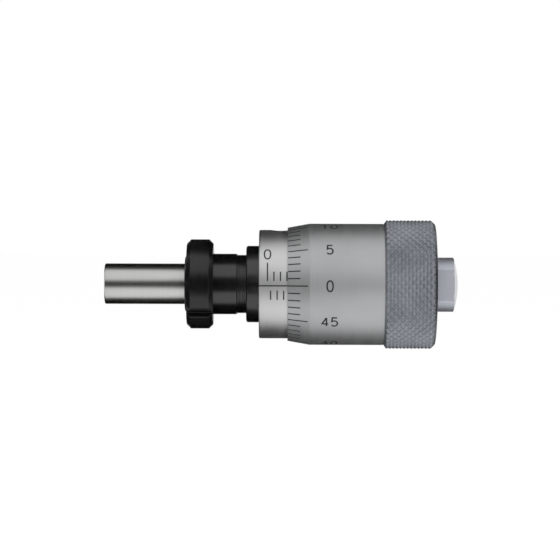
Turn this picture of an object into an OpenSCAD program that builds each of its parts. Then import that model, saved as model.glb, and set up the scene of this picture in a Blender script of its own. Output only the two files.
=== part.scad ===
// Micrometer head with a plain clamped stem, a graduated sleeve and a large knurled thimble.
// The axis runs along +X, from the measuring face to the rear cap. The origin lies on the axis,
// at the middle of the plain land that a bracket grips. The index line faces -Y.

/* [Reading] */
// Full travel of the spindle
travel = 13; // [5:1:20]
// Reading at which the head is drawn
rest_reading = 3; // [0:0.5:5]
// Advance of the spindle for one turn of the thimble
feed_pitch = 0.5; // [0.25:0.25:1]
// Value of one division on the thimble
division = 0.01; // [0.01:0.005:0.02]

/* [Spindle] */
// Diameter of the ground spindle
spindle_d = 6.35; // [5:0.05:6.7]
// Length of the spindle in front of the stem's nose at the drawn reading
spindle_reach = 12.55; // [6:0.05:30]
// Chamfer round the measuring face
tip_chamfer = 0.12; // [0.05:0.01:0.4]
// Diameter of the feed thread, drawn plain over its crests
feed_thread_d = 7; // [6.8:0.05:7.4]
// Length of the spindle's taper seat that stays inside the thimble's end face
taper_recess = 0.5; // [0.3:0.1:1]
// Diameter of the taper seat at the inner face of the thimble's end wall
taper_d = 6.6; // [6:0.05:6.75]
// Fall in diameter of the taper seat for each millimetre of length
taper_rate = 0.1; // [0.05:0.01:0.2]

/* [Stem] */
// Diameter of the plain mounting land
land_d = 9.5; // [9.3:0.05:11]
// Length of the plain mounting land
land_l = 4; // [2:0.1:12]
// Diameter of the relief groove between the land and the collar
undercut_d = 9.15; // [8.8:0.05:9.3]
// Length of the relief groove
undercut_l = 1.5; // [0.5:0.1:3]
// Diameter of the collar that a bracket seats against
collar_d = 12; // [11.5:0.1:14]
// Length of the collar
collar_l = 2; // [1:0.1:5]
// Diameter of the thread for the clamp nut, drawn plain over its crests
clamp_thread_d = 9; // [8.6:0.05:9.2]
// Length of the stem in front of the land
clamp_thread_l = 4.1; // [3.6:0.1:10]
// Chamfer at the stem's nose
nose_chamfer = 0.3; // [0.1:0.05:0.5]
// Chamfer at the front of the collar and at the ends of the land
stem_edge = 0.2; // [0.05:0.05:0.4]
// Length of the bore that guides the spindle, from the nose
guide_l = 10.8; // [8:0.1:11]
// Depth of the relief between the guide bore and the feed thread, below the thread
relief_depth = 0.3; // [0.1:0.05:0.6]
// Length of the thread in the stem's split rear end
nut_thread_l = 10.2; // [6:0.1:11]
// Diameter of the split rear end where it leaves the barrel
split_d = 10.6; // [10:0.1:11.5]
// Fall in diameter of the split rear end for each millimetre of length
split_taper = 0.03; // [0.01:0.01:0.05]
// Width of the slots in the split rear end
split_slot_w = 0.6; // [0.3:0.1:1]
// Number of slots in the split rear end
split_slots = 3; // [2:1:4]
// Length of the stem's split rear end behind the sleeve
split_tail = 2.2; // [1.5:0.1:5]

/* [Clamp nut] */
// Diameter of the clamp nut
nut_d = 14; // [12.5:0.1:20]
// Length of the clamp nut
nut_l = 4.15; // [3:0.05:6]
// Chamfer at both ends of the clamp nut
nut_chamfer = 0.65; // [0.2:0.05:0.8]
// Length of the land that the nut's counterbore covers
nut_overlap = 0.35; // [0.2:0.05:1]
// Number of spanner slots in the clamp nut
nut_slots = 2; // [2:1:8]
// Width of the spanner slots
nut_slot_w = 1.65; // [1:0.05:2.5]
// Depth of the spanner slots
nut_slot_depth = 1; // [0.4:0.1:1.2]
// Angle of the first spanner slot below the index line
nut_slot_angle = 38.5; // [0:0.5:90]

/* [Sleeve] */
// Diameter of the graduated sleeve
sleeve_d = 17; // [16:0.1:22]
// Wall of the sleeve
sleeve_wall = 0.9; // [0.8:0.05:1.5]
// Chamfer at the ends of the sleeve
sleeve_chamfer = 0.15; // [0.05:0.05:0.4]
// Distance of the zero mark from the sleeve's front
zero_offset = 1.34; // [0.8:0.01:4]
// Length of sleeve that stays inside the thimble at full travel
sleeve_overlap = 3.5; // [2:0.1:8]
// Diameter of the hole for the zero-setting spanner
spanner_hole_d = 2.9; // [1:0.1:3.5]
// Distance of the spanner hole from the sleeve's front
spanner_hole_offset = 3.35; // [2:0.05:8]

/* [Adjusting nut] */
// Length of the adjusting nut on the split rear end
adjuster_l = 4.5; // [3:0.1:6]
// Radial room between the adjusting nut and the sleeve
adjuster_gap = 1.1; // [0.3:0.05:1.3]
// Distance of the adjusting nut from the stem's rear end
adjuster_inset = 0.5; // [0.1:0.1:1.2]
// Width of the two spanner notches in the adjusting nut
adjuster_notch_w = 1.6; // [0.8:0.1:2.5]
// Depth of the spanner notches
adjuster_notch_depth = 1; // [0.4:0.1:2]

/* [Thimble] */
// Wall of the thimble
thimble_wall = 0.85; // [0.7:0.05:2]
// Radial wall at the thimble's front edge
edge_wall = 0.22; // [0.15:0.01:0.4]
// Length of the bevel behind the front edge
bevel_l = 3.4; // [3.3:0.1:6]
// Distance of the front edge behind the sleeve mark that it reads
edge_past = 0.12; // [0:0.01:0.3]
// Thickness of the thimble's end wall
head_wall = 4; // [3:0.1:8]

/* [Knurl] */
// Height of the knurl's crests above the thimble's wall
knurl_rise = 0.58; // [0.3:0.01:1.5]
// Length of the knurled band, with the chamfer at its rear
knurl_l = 8.1; // [4:0.1:14]
// Depth of the knurl
knurl_depth = 0.3; // [0.15:0.01:0.45]
// Number of grooves round the thimble in each hand
knurl_starts = 50; // [30:1:60]
// Axial pitch of the diamonds
knurl_pitch = 1.13; // [0.9:0.01:2]
// Depth of the rear chamfer below the bottom of the grooves
knurl_chamfer = 0.33; // [0.2:0.01:0.8]

/* [Thimble cap] */
// Diameter of the cap
cap_d = 8.5; // [7.8:0.1:12]
// Height of the cap at its rim
cap_l = 2.95; // [2:0.05:6]
// Height of the dome on the cap
cap_dome = 0.7; // [0.2:0.05:1]
// Chamfer between the cap's side and its dome
cap_chamfer = 0.06; // [0.05:0.01:0.4]
// Width across the wrench flats
cap_flats = 7; // [5.5:0.1:7.5]
// Diameter of the cap's screw
cap_screw_d = 4; // [3:0.1:4.2]
// Length of the cap's screw
cap_screw_l = 6; // [3:0.1:9]

/* [Graduations] */
// Width of the engraved lines
line_w = 0.2; // [0.1:0.01:0.3]
// Depth of the engraved lines
line_depth = 0.05; // [0.02:0.01:0.08]
// Length of the short lines on the thimble
tick_l = 1.95; // [1:0.05:2.5]
// Length of every fifth line on the thimble
long_tick_l = 3.1; // [2:0.05:3.2]
// Arc between the index line and the sleeve's marks
mark_gap = 0.74; // [0.3:0.01:1.2]
// Arc length of a mark on the sleeve
mark_l = 1.45; // [0.8:0.05:2]
// Arc length of every fifth millimetre mark on the sleeve
long_mark_l = 2.9; // [1.5:0.05:3.5]

/* [Fits] */
// Radial clearance of the spindle in its guide bore
guide_clearance = 0.015; // [0.01:0.005:0.05]
// Radial clearance of threads that are drawn plain
thread_clearance = 0.02; // [0.01:0.005:0.08]
// Radial clearance of the sleeve on the stem's barrel
seat_clearance = 0.015; // [0.01:0.005:0.05]
// Radial clearance of the thimble round the sleeve
thimble_clearance = 0.15; // [0.08:0.01:0.25]
// Radial clearance of the taper seat
taper_clearance = 0.015; // [0.01:0.005:0.04]
// Axial gap that keeps moving shoulders apart at the ends of the travel
end_gap = 0.35; // [0.2:0.05:1]

/* [Hidden] */
$fn = 128;

// Overshoot of a cutting tool past the face that it breaks through
cut = 0.5;

// Stations along the axis, from front to rear
land_front_x = -land_l / 2;
land_rear_x = land_l / 2;
nose_x = land_front_x - clamp_thread_l;
collar_x = land_rear_x + undercut_l;
sleeve_x = collar_x + collar_l;
zero_x = sleeve_x + zero_offset;
sleeve_l = zero_offset + travel + edge_past + sleeve_overlap;
sleeve_end_x = sleeve_x + sleeve_l;
stem_end_x = sleeve_end_x + split_tail;
guide_end_x = nose_x + guide_l;
nut_thread_x = stem_end_x - nut_thread_l;

// Stations that travel with the spindle, at the drawn reading
tip_x = nose_x - spindle_reach;
edge_x = zero_x + rest_reading + edge_past;
head_inner_x = stem_end_x + end_gap + rest_reading;
head_end_x = head_inner_x + head_wall;
feed_thread_x = guide_end_x + end_gap + rest_reading;
spindle_end_x = head_end_x - taper_recess;

// Radii that follow from the fits
sleeve_r = sleeve_d / 2;
sleeve_bore_r = sleeve_r - sleeve_wall;
barrel_r = sleeve_bore_r - seat_clearance;
thimble_bore_r = sleeve_r + thimble_clearance;
thimble_r = thimble_bore_r + thimble_wall;
edge_r = thimble_bore_r + edge_wall;
guide_r = spindle_d / 2 + guide_clearance;
nut_thread_r = feed_thread_d / 2 + thread_clearance;
relief_r = nut_thread_r + relief_depth;

// The knurled band between the step behind the smooth wall and the rear chamfer. The ends of the
// diamond ring are buried by this much in the wall and in the chamfered rim.
knurl_bury = 0.1;
knurl_r = thimble_r + knurl_rise;
knurl_valley_r = knurl_r - knurl_depth;
knurl_core_r = min(thimble_r, knurl_valley_r) - 3.5 * knurl_bury;
knurl_rear_r = knurl_valley_r - knurl_bury / 2;
head_end_r = knurl_valley_r - knurl_chamfer;
knurl_x = head_end_x - knurl_l;
knurl_rear_x = head_end_x - (knurl_rear_r - head_end_r);

steel = [0.80, 0.80, 0.80];
satin_chrome = [0.70, 0.71, 0.71];
black_oxide = [0.12, 0.12, 0.13];
bright_cap = [0.62, 0.64, 0.68];

// A solid of revolution about the X axis, from a profile of [station, radius] points
module turned(profile) {
    rotate([0, 90, 0])
        rotate_extrude()
            polygon([for (p = profile) [p[1], p[0]]]);
}

// Children turned about the axis: 0 faces -Y, positive angles rise towards +Z
module at_angle(a) {
    rotate([90 - a, 0, 0]) children();
}

// A slot along the axis, open outwards, from station x0 to x1 and from radius r0 to r1
module axial_slot(x0, x1, r0, r1, w) {
    translate([x0, -w / 2, r0])
        cube([x1 - x0, w, r1 - r0]);
}

// Radius of the split rear end at a station
function split_r(x) = (split_d - split_taper * (x - sleeve_x)) / 2;

// Radius of the taper seat at a station
function taper_r(x) = (taper_d - taper_rate * (x - head_inner_x)) / 2;

// Radius of the thimble's bevel at a distance behind its front edge
function bevel_r(d) = edge_r + (thimble_r - edge_r) * d / bevel_l;

module stem() {
    barrel_end_x = nut_thread_x - end_gap;
    slot_x = nut_thread_x + end_gap;
    color(black_oxide)
        difference() {
            turned([
                [nose_x, guide_r],
                [nose_x, clamp_thread_d / 2 - nose_chamfer],
                [nose_x + nose_chamfer, clamp_thread_d / 2],
                [land_front_x, clamp_thread_d / 2],
                [land_front_x + stem_edge, land_d / 2],
                [land_rear_x, land_d / 2],
                [land_rear_x + stem_edge / 2, undercut_d / 2],
                [collar_x, undercut_d / 2],
                [collar_x, collar_d / 2 - stem_edge],
                [collar_x + stem_edge, collar_d / 2],
                [sleeve_x, collar_d / 2],
                [sleeve_x, barrel_r],
                [barrel_end_x, barrel_r],
                [barrel_end_x, split_r(barrel_end_x)],
                [stem_end_x, split_r(stem_end_x)],
                [stem_end_x, nut_thread_r],
                [nut_thread_x, nut_thread_r],
                [nut_thread_x, relief_r],
                [guide_end_x, relief_r],
                [guide_end_x, guide_r]
            ]);
            for (i = [0 : split_slots - 1])
                at_angle(360 * i / split_slots)
                    axial_slot(slot_x, stem_end_x + cut, 0, split_d, split_slot_w);
        }
}

module clamp_nut() {
    rear_x = land_front_x + nut_overlap;
    front_x = rear_x - nut_l;
    bore_r = clamp_thread_d / 2 + thread_clearance;
    counterbore_r = land_d / 2 + thread_clearance;
    counterbore_x = land_front_x - thread_clearance;
    slot_floor_r = nut_d / 2 - nut_slot_depth;
    color(black_oxide)
        difference() {
            turned([
                [front_x, bore_r],
                [front_x, nut_d / 2 - nut_chamfer],
                [front_x + nut_chamfer, nut_d / 2],
                [rear_x - nut_chamfer, nut_d / 2],
                [rear_x, nut_d / 2 - nut_chamfer],
                [rear_x, counterbore_r],
                [counterbore_x, counterbore_r],
                [counterbore_x, bore_r]
            ]);
            for (i = [0 : nut_slots - 1])
                at_angle(360 * i / nut_slots - nut_slot_angle)
                    axial_slot(front_x - cut, rear_x + cut, slot_floor_r, nut_d, nut_slot_w);
        }
}

// An engraved arc on the sleeve at a station, from arc length s0 to s1 above the index line
module sleeve_mark(x, s0, s1) {
    to_angle = 180 / (PI * sleeve_r);
    at_angle(s0 * to_angle)
        translate([x - line_w / 2, 0, 0])
            rotate([0, 90, 0])
                rotate([0, 0, 180])
                    rotate_extrude(angle = -(s1 - s0) * to_angle)
                        translate([sleeve_r - line_depth, 0])
                            square([line_depth + cut, line_w]);
}

module sleeve() {
    index_end_x = zero_x + travel + zero_offset;
    half_marks = floor(travel / feed_pitch);
    color(satin_chrome)
        difference() {
            turned([
                [sleeve_x, sleeve_bore_r],
                [sleeve_x, sleeve_r - sleeve_chamfer],
                [sleeve_x + sleeve_chamfer, sleeve_r],
                [sleeve_end_x - sleeve_chamfer, sleeve_r],
                [sleeve_end_x, sleeve_r - sleeve_chamfer],
                [sleeve_end_x, sleeve_bore_r]
            ]);
            translate([sleeve_x + spanner_hole_offset, 0, 0])
                cylinder(d = spanner_hole_d, h = sleeve_d);
            at_angle(0)
                axial_slot(sleeve_x - cut, index_end_x, sleeve_r - line_depth, sleeve_d, line_w);
            for (i = [0 : travel])
                sleeve_mark(zero_x + i, mark_gap, mark_gap + (i % 5 == 0 ? long_mark_l : mark_l));
            for (i = [1 : half_marks])
                if (i * feed_pitch % 1 != 0)
                    sleeve_mark(zero_x + i * feed_pitch, -mark_gap - mark_l, -mark_gap);
        }
}

module adjusting_nut() {
    rear_x = stem_end_x - adjuster_inset;
    front_x = rear_x - adjuster_l;
    outer_r = sleeve_bore_r - adjuster_gap;
    color(steel)
        difference() {
            turned([
                [front_x, split_r(front_x) + thread_clearance],
                [front_x, outer_r],
                [rear_x, outer_r],
                [rear_x, split_r(rear_x) + thread_clearance]
            ]);
            translate([rear_x - adjuster_notch_depth, -outer_r - cut, -adjuster_notch_w / 2])
                cube([adjuster_notch_depth + cut, 2 * (outer_r + cut), adjuster_notch_w]);
        }
}

module spindle() {
    thread_end_x = head_inner_x - end_gap / 2;
    screw_bore_r = cap_screw_d / 2 + thread_clearance;
    screw_bore_x = head_end_x - cap_screw_l - end_gap;
    color(steel)
        turned([
            [tip_x, 0],
            [tip_x, spindle_d / 2 - tip_chamfer],
            [tip_x + tip_chamfer, spindle_d / 2],
            [feed_thread_x, spindle_d / 2],
            [feed_thread_x, feed_thread_d / 2],
            [thread_end_x, feed_thread_d / 2],
            [thread_end_x, taper_r(thread_end_x)],
            [spindle_end_x, taper_r(spindle_end_x)],
            [spindle_end_x, screw_bore_r],
            [screw_bore_x, screw_bore_r],
            [screw_bore_x - screw_bore_r / 2, 0]
        ]);
}

// A closed ring of diamond pyramids between two stations. Even points of the lattice are crests,
// odd points are the crossings of the grooves, and each cell is folded along its groove.
module diamond_knurl(x0, x1, r0, r1, inner_r) {
    n = 2 * knurl_starts;
    rows = 2 * round((x1 - x0) / knurl_pitch);
    function lattice_r(i, j) = (i + j) % 2 == 0 ? knurl_r : knurl_valley_r;
    function row_r(i, j) = j == 0 ? r0 : j == rows ? r1 : lattice_r(i, j);
    function ring_point(x, r, i) = [x, -r * cos(360 * i / n), r * sin(360 * i / n)];
    function row_x(j) = x0 + (x1 - x0) * j / rows;
    outer = [for (j = [0 : rows], i = [0 : n - 1]) ring_point(row_x(j), row_r(i, j), i)];
    inner = [for (x = [x0, x1], i = [0 : n - 1]) ring_point(x, inner_r, i)];
    function at(i, j) = j * n + i % n;
    function inside(i, k) = len(outer) + k * n + i % n;
    skin = [
        for (j = [0 : rows - 1], i = [0 : n - 1])
            each (i + j) % 2 == 0
                ? [[at(i, j), at(i + 1, j), at(i, j + 1)], [at(i + 1, j), at(i + 1, j + 1), at(i, j + 1)]]
                : [[at(i, j), at(i + 1, j), at(i + 1, j + 1)], [at(i, j), at(i + 1, j + 1), at(i, j + 1)]]
    ];
    front = [for (i = [0 : n - 1]) [at(i, 0), inside(i, 0), inside(i + 1, 0), at(i + 1, 0)]];
    rear = [for (i = [0 : n - 1]) [inside(i, 1), at(i, rows), at(i + 1, rows), inside(i + 1, 1)]];
    core = [for (i = [0 : n - 1]) [inside(i, 0), inside(i, 1), inside(i + 1, 1), inside(i + 1, 0)]];
    polyhedron(points = concat(outer, inner), faces = concat(skin, front, rear, core));
}

module thimble() {
    ticks = round(feed_pitch / division);
    color(satin_chrome) {
        difference() {
            turned([
                [edge_x, thimble_bore_r],
                [edge_x, edge_r],
                [edge_x + bevel_l, thimble_r],
                [knurl_x, thimble_r],
                [knurl_x, knurl_core_r],
                [knurl_rear_x, knurl_core_r],
                [knurl_rear_x, knurl_rear_r],
                [head_end_x, head_end_r],
                [head_end_x, taper_r(head_end_x) + taper_clearance],
                [head_inner_x, taper_r(head_inner_x) + taper_clearance],
                [head_inner_x, thimble_bore_r]
            ]);
            for (i = [0 : ticks - 1])
                at_angle(360 * i / ticks)
                    thimble_tick(i % 5 == 0 ? long_tick_l : tick_l);
        }
        diamond_knurl(
            knurl_x - knurl_bury,
            knurl_rear_x + knurl_bury,
            thimble_r - 2 * knurl_bury,
            knurl_rear_r - 2 * knurl_bury,
            knurl_core_r - knurl_bury
        );
    }
}

// The cutter of one engraved line, whose floor follows the thimble's bevel
module thimble_tick(l) {
    translate([edge_x, line_w / 2, 0])
        rotate([90, 0, 0])
            linear_extrude(line_w)
                polygon([
                    [-cut, bevel_r(-cut) - line_depth],
                    [l, bevel_r(l) - line_depth],
                    [l, thimble_r + cut],
                    [-cut, thimble_r + cut]
                ]);
}

module thimble_cap() {
    rim_x = head_end_x + cap_l;
    apex_x = rim_x + cap_dome;
    rim_r = cap_d / 2 - cap_chamfer;
    dome_r = (rim_r * rim_r + cap_dome * cap_dome) / (2 * cap_dome);
    color(bright_cap)
        intersection() {
            rotate([0, 90, 0])
                rotate_extrude()
                    intersection() {
                        polygon([
                            [0, head_end_x - cap_screw_l],
                            [cap_screw_d / 2, head_end_x - cap_screw_l],
                            [cap_screw_d / 2, head_end_x],
                            [cap_d / 2, head_end_x],
                            [cap_d / 2, rim_x - cap_chamfer],
                            [rim_r - cap_dome, apex_x],
                            [0, apex_x]
                        ]);
                        translate([0, apex_x - dome_r]) circle(dome_r);
                    }
            translate([head_end_x - cap_screw_l - cut, -cap_flats / 2, -cap_d])
                cube([cap_screw_l + cap_l + cap_dome + 2 * cut, cap_flats, 2 * cap_d]);
        }
}

stem();
clamp_nut();
sleeve();
adjusting_nut();
spindle();
thimble();
thimble_cap();
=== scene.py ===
"""Looks of a micrometer head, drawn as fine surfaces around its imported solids.

Sizes are in millimetres on the part's own axes. X runs along the axis from the measuring face to the
rear cap. Angles turn about X from the index line, which faces -Y, towards the top, which faces +Z.
"""

import logging
from abc import ABC, abstractmethod
from dataclasses import dataclass, field
from enum import Enum
from functools import lru_cache
from typing import Callable

import bmesh
import bpy
import numpy as np
from mathutils import Matrix, Vector
from numpy.typing import NDArray


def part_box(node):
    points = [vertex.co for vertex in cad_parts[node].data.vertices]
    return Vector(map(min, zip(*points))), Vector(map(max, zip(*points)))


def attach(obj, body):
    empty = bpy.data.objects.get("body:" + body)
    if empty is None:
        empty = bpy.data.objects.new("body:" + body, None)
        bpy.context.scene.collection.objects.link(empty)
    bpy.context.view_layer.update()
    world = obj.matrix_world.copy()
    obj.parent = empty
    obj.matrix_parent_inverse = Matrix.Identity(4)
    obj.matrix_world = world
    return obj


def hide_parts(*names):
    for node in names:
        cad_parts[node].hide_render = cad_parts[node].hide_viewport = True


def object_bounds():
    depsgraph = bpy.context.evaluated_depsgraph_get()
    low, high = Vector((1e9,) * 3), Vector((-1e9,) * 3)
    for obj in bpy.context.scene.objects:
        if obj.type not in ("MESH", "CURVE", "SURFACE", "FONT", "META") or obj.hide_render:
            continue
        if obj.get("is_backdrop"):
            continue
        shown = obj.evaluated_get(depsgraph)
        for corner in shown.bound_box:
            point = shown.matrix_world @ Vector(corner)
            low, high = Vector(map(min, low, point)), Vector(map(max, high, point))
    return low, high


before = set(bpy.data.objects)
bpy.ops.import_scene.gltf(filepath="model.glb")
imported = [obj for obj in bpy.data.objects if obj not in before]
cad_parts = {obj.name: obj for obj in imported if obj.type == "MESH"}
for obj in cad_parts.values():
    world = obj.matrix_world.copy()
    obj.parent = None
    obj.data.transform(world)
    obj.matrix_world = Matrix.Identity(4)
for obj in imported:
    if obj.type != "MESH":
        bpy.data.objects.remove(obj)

Floats = NDArray[np.float64]
Ints = NDArray[np.int64]
Colour = tuple[float, float, float]

LOG = logging.getLogger("micrometer_head")
MM = 0.001
TURN = 2 * np.pi
TOP = np.pi / 2
WELD_MM = 0.0002
SIDES = 192

# A rounding takes at most this share of a flat, and the flat's extra point stands this many reaches off.
REACH_SHARE = 0.36
SUPPORT_AT = 1.35

# Share of a thread's half pitch that its flat crest takes, and its rings' columns and crease.
THREAD_FLAT = 0.18
THREAD_SIDES = 120
THREAD_CREASE_DEG = 50.0

# Share of the fine lines in a metal's tone, the noise's span for tone and roughness, and its octaves.
LINE_SHARE = 0.35
TONE_RANGE = (0.35, 0.65)
ROUGH_RANGE = (0.3, 0.7)
LINE_DETAIL = 3.0
TONE_DETAIL = 4.0


class Edge(float, Enum):
    """Roundings of a profile's corners in millimetres."""

    SHARP = 0.0
    HIDDEN = 0.02
    FINE = 0.03
    MOUTH = 0.04
    BROKEN = 0.05
    EASED = 0.1


def stacked(*values: Floats | float) -> Floats:
    """Rows of the values side by side, with single values repeated in every row."""
    return np.stack(np.broadcast_arrays(*values), axis=-1)


def polar(station: Floats | float, radius: Floats | float, angle: Floats) -> Floats:
    """Points at a station, a radius and an angle about the axis.

    The point is (x, -r cos a, r sin a), over arrays that broadcast together.

    Args:
        station: Distance along the axis.
        radius: Distance from the axis.
        angle: Angle from the index line in radians.

    Returns:
        Array with one more axis than the arguments together, of length 3.
    """
    return stacked(station, -radius * np.cos(angle), radius * np.sin(angle))


def around(sides: int = SIDES) -> Floats:
    """Angles of one full turn, with the first repeated at the end."""
    return np.linspace(0.0, TURN, sides + 1)


def rounded(corners: list[tuple[float, float, float]], steps: int = 6) -> Floats:
    """Closed profile with its corners rounded.

    Each corner row is (station, radius, rounding). The corner is replaced by the parabola through its
    two tangent points, (1-t)^2 A + 2t(1-t) B + t^2 C, with one more point on either side that keeps the
    shading of the flats flat.

    Args:
        corners: Corners in order round the profile.
        steps: Segments in each rounding.

    Returns:
        Array of (station, radius) rows whose last row repeats the first.
    """
    table = np.asarray(corners, dtype=float)
    corner = table[:, :2]
    back = np.roll(corner, 1, axis=0) - corner
    ahead = np.roll(corner, -1, axis=0) - corner
    back_l = np.linalg.norm(back, axis=1, keepdims=True)
    ahead_l = np.linalg.norm(ahead, axis=1, keepdims=True)
    back = back / back_l
    ahead = ahead / ahead_l
    half = 0.5 * np.arccos(np.clip((back * ahead).sum(axis=1, keepdims=True), -1.0, 1.0))
    reach = np.minimum(table[:, 2:] / np.tan(half), REACH_SHARE * np.minimum(back_l, ahead_l))
    start = (corner + back * reach)[:, None]
    end = (corner + ahead * reach)[:, None]
    t = np.linspace(0.0, 1.0, steps + 1)[None, :, None]
    arc = (1 - t) ** 2 * start + 2 * t * (1 - t) * corner[:, None] + t**2 * end
    before = (corner + back * reach * SUPPORT_AT)[:, None]
    after = (corner + ahead * reach * SUPPORT_AT)[:, None]
    path = np.concatenate([before, arc, after], axis=1).reshape(-1, 2)
    return np.concatenate([path, path[:1]])


def lathe(profile: Floats, angles: Floats, outline: Floats | None = None) -> Floats:
    """Surface of a profile turned about the axis.

    The surface is polar(x_i, min(r_i, o_ij), a_j): the profile gives the station and the radius, and an
    outline, where there is one, cuts the radius back to its own at each angle.

    Args:
        profile: Rows of (station, radius).
        angles: Angles of the surface's columns, the same for all rows or a row for each.
        outline: Largest radius at each of those angles, the same for all rows or a row for each.

    Returns:
        Grid of points, rows along the profile and columns round the axis.
    """
    radius = np.broadcast_to(profile[:, 1, None], (len(profile), angles.shape[-1]))
    if outline is not None:
        radius = np.minimum(radius, outline)
    return polar(profile[:, 0, None], radius, np.atleast_2d(angles))


def thread_fall(x: Floats, angle: Floats, pitch: float) -> Floats:
    """How far a thread has fallen from its crest, 0 on the crest and 1 at the root.

    It is a triangle wave of (x / pitch - a / turn) with its crest cut flat.

    Args:
        x: Stations.
        angle: Angles.
        pitch: Pitch of the thread.

    Returns:
        Shares of the thread's depth.
    """
    phase = x / pitch - angle / TURN
    wave = np.abs(phase - np.round(phase)) * 2
    return np.clip((wave - THREAD_FLAT) / (1 - THREAD_FLAT), 0.0, 1.0)


class Shell:
    """A closed mesh that is gathered from grids of points in millimetres."""

    def __init__(self, name: str) -> None:
        """Starts an empty shell.

        Args:
            name: Name of the piece.
        """
        self.name = name
        self._points: list[Floats] = []
        self._faces: list[Ints] = []
        self._count = 0

    def faces(self, points: Floats, faces: Ints) -> "Shell":
        """Adds points and the faces between them.

        Args:
            points: Array of (n, 3) points.
            faces: Array of (m, 3) or (m, 4) rows that index those points.

        Returns:
            The shell itself.
        """
        self._points.append(points)
        self._faces.append(faces + self._count)
        self._count += len(points)
        return self

    def grid(self, points: Floats) -> "Shell":
        """Adds a grid of quads.

        Args:
            points: Array of (rows, columns, 3) points, or of several such grids.

        Returns:
            The shell itself.
        """
        rows, columns = points.shape[-3:-1]
        index = np.arange(points[..., 0].size).reshape(-1, rows, columns)
        quads = stacked(index[:, :-1, :-1], index[:, :-1, 1:], index[:, 1:, 1:], index[:, 1:, :-1])
        return self.faces(points.reshape(-1, 3), quads.reshape(-1, 4))

    def make(self, crease_deg: float = 32.0) -> bpy.types.Object:
        """Makes the object, welds its seams and poles and turns its faces outwards.

        Args:
            crease_deg: Angle between two faces from which their edge stays sharp.

        Returns:
            The new object, at the origin, with its place in its mesh.
        """
        mesh = bpy.data.meshes.new(self.name)
        faces = [row for block in self._faces for row in block.tolist()]
        mesh.from_pydata((np.concatenate(self._points) * MM).tolist(), [], faces)
        work = bmesh.new()
        work.from_mesh(mesh)
        bmesh.ops.remove_doubles(work, verts=work.verts, dist=WELD_MM * MM)
        bmesh.ops.dissolve_degenerate(work, edges=work.edges, dist=WELD_MM * MM)
        bmesh.ops.recalc_face_normals(work, faces=work.faces)
        work.to_mesh(mesh)
        work.free()
        mesh.shade_smooth()
        mesh.set_sharp_from_angle(angle=np.radians(crease_deg))
        piece = bpy.data.objects.new(self.name, mesh)
        bpy.context.scene.collection.objects.link(piece)
        return piece


def thread_ring(name: str, x: Floats, angle: Floats, radius: Floats, foot: float) -> bpy.types.Object:
    """A thread's ring, closed by the plain round under its height field.

    Args:
        name: Name of the piece.
        x: Column of stations.
        angle: Row of angles.
        radius: Radius at each station and angle.
        foot: Radius of the plain round.

    Returns:
        The new object.
    """
    front, rear = polar(x[:1], foot, angle), polar(x[-1:], foot, angle)
    rows = np.concatenate([front, polar(x, radius, angle), rear, front])
    return Shell(name).grid(rows).make(THREAD_CREASE_DEG)


@dataclass(frozen=True)
class Span:
    """Stations and outer radius of a solid of the frame."""

    front: float
    rear: float
    radius: float
    half_width: float

    @classmethod
    def of(cls, node: str) -> "Span":
        """The span of a node, read from its box."""
        low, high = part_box(node)
        return cls(low.x / MM, high.x / MM, high.z / MM, high.y / MM)


class Graph:
    """A short way to write shader nodes."""

    def __init__(self, tree: bpy.types.NodeTree) -> None:
        """Empties the tree and keeps it."""
        self.tree = tree
        tree.nodes.clear()

    def add(
        self, kind: str, inputs: dict[str | int, object] | None = None, **settings: object
    ) -> bpy.types.Node:
        """Adds a node.

        Args:
            kind: Type name of the node.
            inputs: Value, or output socket to link, for each named or numbered input.
            settings: Properties of the node.

        Returns:
            The new node.
        """
        node = self.tree.nodes.new(kind)
        for key, value in settings.items():
            setattr(node, key, value)
        for key, value in (inputs or {}).items():
            if isinstance(value, bpy.types.NodeSocket):
                self.tree.links.new(value, node.inputs[key])
            else:
                node.inputs[key].default_value = value
        return node

    def math(self, operation: str, *values: object) -> bpy.types.NodeSocket:
        """Output of a math node on values or sockets."""
        return self.add("ShaderNodeMath", dict(enumerate(values)), operation=operation).outputs[0]

    def remap(
        self, value: bpy.types.NodeSocket, span: tuple[float, float], to_low: float, to_high: float
    ) -> bpy.types.NodeSocket:
        """Output of a smooth map from one range to another.

        Args:
            value: Output that is mapped.
            span: Range that it is mapped from.
            to_low: Result at the range's low end and under it.
            to_high: Result at its high end and over it.

        Returns:
            The output of the map.
        """
        return self.add(
            "ShaderNodeMapRange",
            {"Value": value, 1: span[0], 2: span[1], 3: to_low, 4: to_high},
            interpolation_type="SMOOTHSTEP",
        ).outputs[0]


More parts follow.
